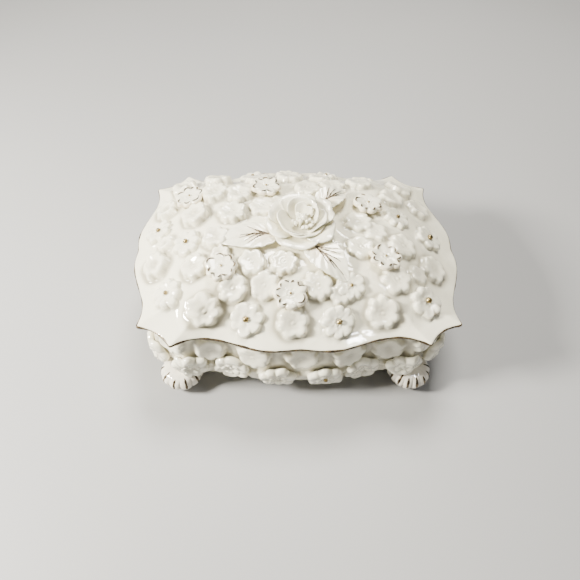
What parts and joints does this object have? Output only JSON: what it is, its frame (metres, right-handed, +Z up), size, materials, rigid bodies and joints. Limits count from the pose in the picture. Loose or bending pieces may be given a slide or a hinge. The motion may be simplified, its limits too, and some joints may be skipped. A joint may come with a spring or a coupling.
{
  "type": "vanity trinket box",
  "caption": "Footed porcelain trinket box with a lift-off pillow lid, a scalloped gilt rim, applied flowers and a rose with leaves.",
  "frame": {"origin": "on the floor under the middle of the box", "axes": "+X along the box's length, -Y out of its front, +Z up"},
  "size_m": [0.1778, 0.134, 0.0869],
  "materials": {
    "shell_porcelain": "glossy clear glaze over white porcelain",
    "flower_porcelain": "glossy clear glaze, pooled between the petals",
    "gilt_edged_porcelain": "glossy glaze with hand-painted worn gilt petal edges",
    "rose_porcelain": "glossy glaze over thin hand-rolled petals",
    "leaf_porcelain": "glossy glaze with painted gilt veins",
    "foot_porcelain": "glossy glaze with gilt strokes down the ribs",
    "gilt": "thin brown-gold lustre, worn"
  },
  "bodies": {
    "base": {"base_body": "shell_porcelain", "base_flower_1": "flower_porcelain", "base_flower_2": "flower_porcelain", "base_flower_3": "flower_porcelain", "base_flower_4": "flower_porcelain", "base_flower_5": "flower_porcelain", "base_flower_6": "flower_porcelain", "base_flower_7": "flower_porcelain", "base_flower_8": "flower_porcelain", "base_flower_9": "flower_porcelain", "base_flower_10": "flower_porcelain", "base_flower_11": "flower_porcelain", "base_flower_12": "flower_porcelain", "base_flower_13": "flower_porcelain", "base_flower_14": "flower_porcelain", "base_flower_15": "flower_porcelain", "base_flower_16": "flower_porcelain", "base_flower_17": "flower_porcelain", "base_flower_18": "flower_porcelain", "base_flower_19": "flower_porcelain", "base_flower_20": "flower_porcelain", "base_flower_21": "flower_porcelain", "base_flower_22": "flower_porcelain", "foot_back_left": "foot_porcelain", "foot_back_right": "foot_porcelain", "foot_front_left": "foot_porcelain", "foot_front_right": "foot_porcelain"},
    "lid": {"gilt_flower_1": "gilt_edged_porcelain", "gilt_flower_2": "gilt_edged_porcelain", "gilt_flower_3": "gilt_edged_porcelain", "gilt_flower_4": "gilt_edged_porcelain", "gilt_flower_5": "gilt_edged_porcelain", "gilt_flower_6": "gilt_edged_porcelain", "leaf_back_right": "leaf_porcelain", "leaf_front_right": "leaf_porcelain", "leaf_left": "leaf_porcelain", "lid_flower_1": "flower_porcelain", "lid_flower_2": "flower_porcelain", "lid_flower_3": "flower_porcelain", "lid_flower_4": "flower_porcelain", "lid_flower_5": "flower_porcelain", "lid_flower_6": "flower_porcelain", "lid_flower_7": "flower_porcelain", "lid_flower_8": "flower_porcelain", "lid_flower_9": "flower_porcelain", "lid_flower_10": "flower_porcelain", "lid_flower_11": "flower_porcelain", "lid_shell": "shell_porcelain", "rose_inner_petal_1": "rose_porcelain", "rose_inner_petal_2": "rose_porcelain", "rose_inner_petal_3": "rose_porcelain", "rose_inner_petal_4": "rose_porcelain", "rose_outer_petal_1": "rose_porcelain", "rose_outer_petal_2": "rose_porcelain", "rose_outer_petal_3": "rose_porcelain", "rose_outer_petal_4": "rose_porcelain", "rose_outer_petal_5": "rose_porcelain", "rose_stamens": "rose_porcelain"}
  },
  "joints": [
    {"name": "lid_lift", "type": "slide", "parent": "base", "child": "lid", "axis": [0, 0, 1], "range_m": [0, 0.1]}
  ]
}
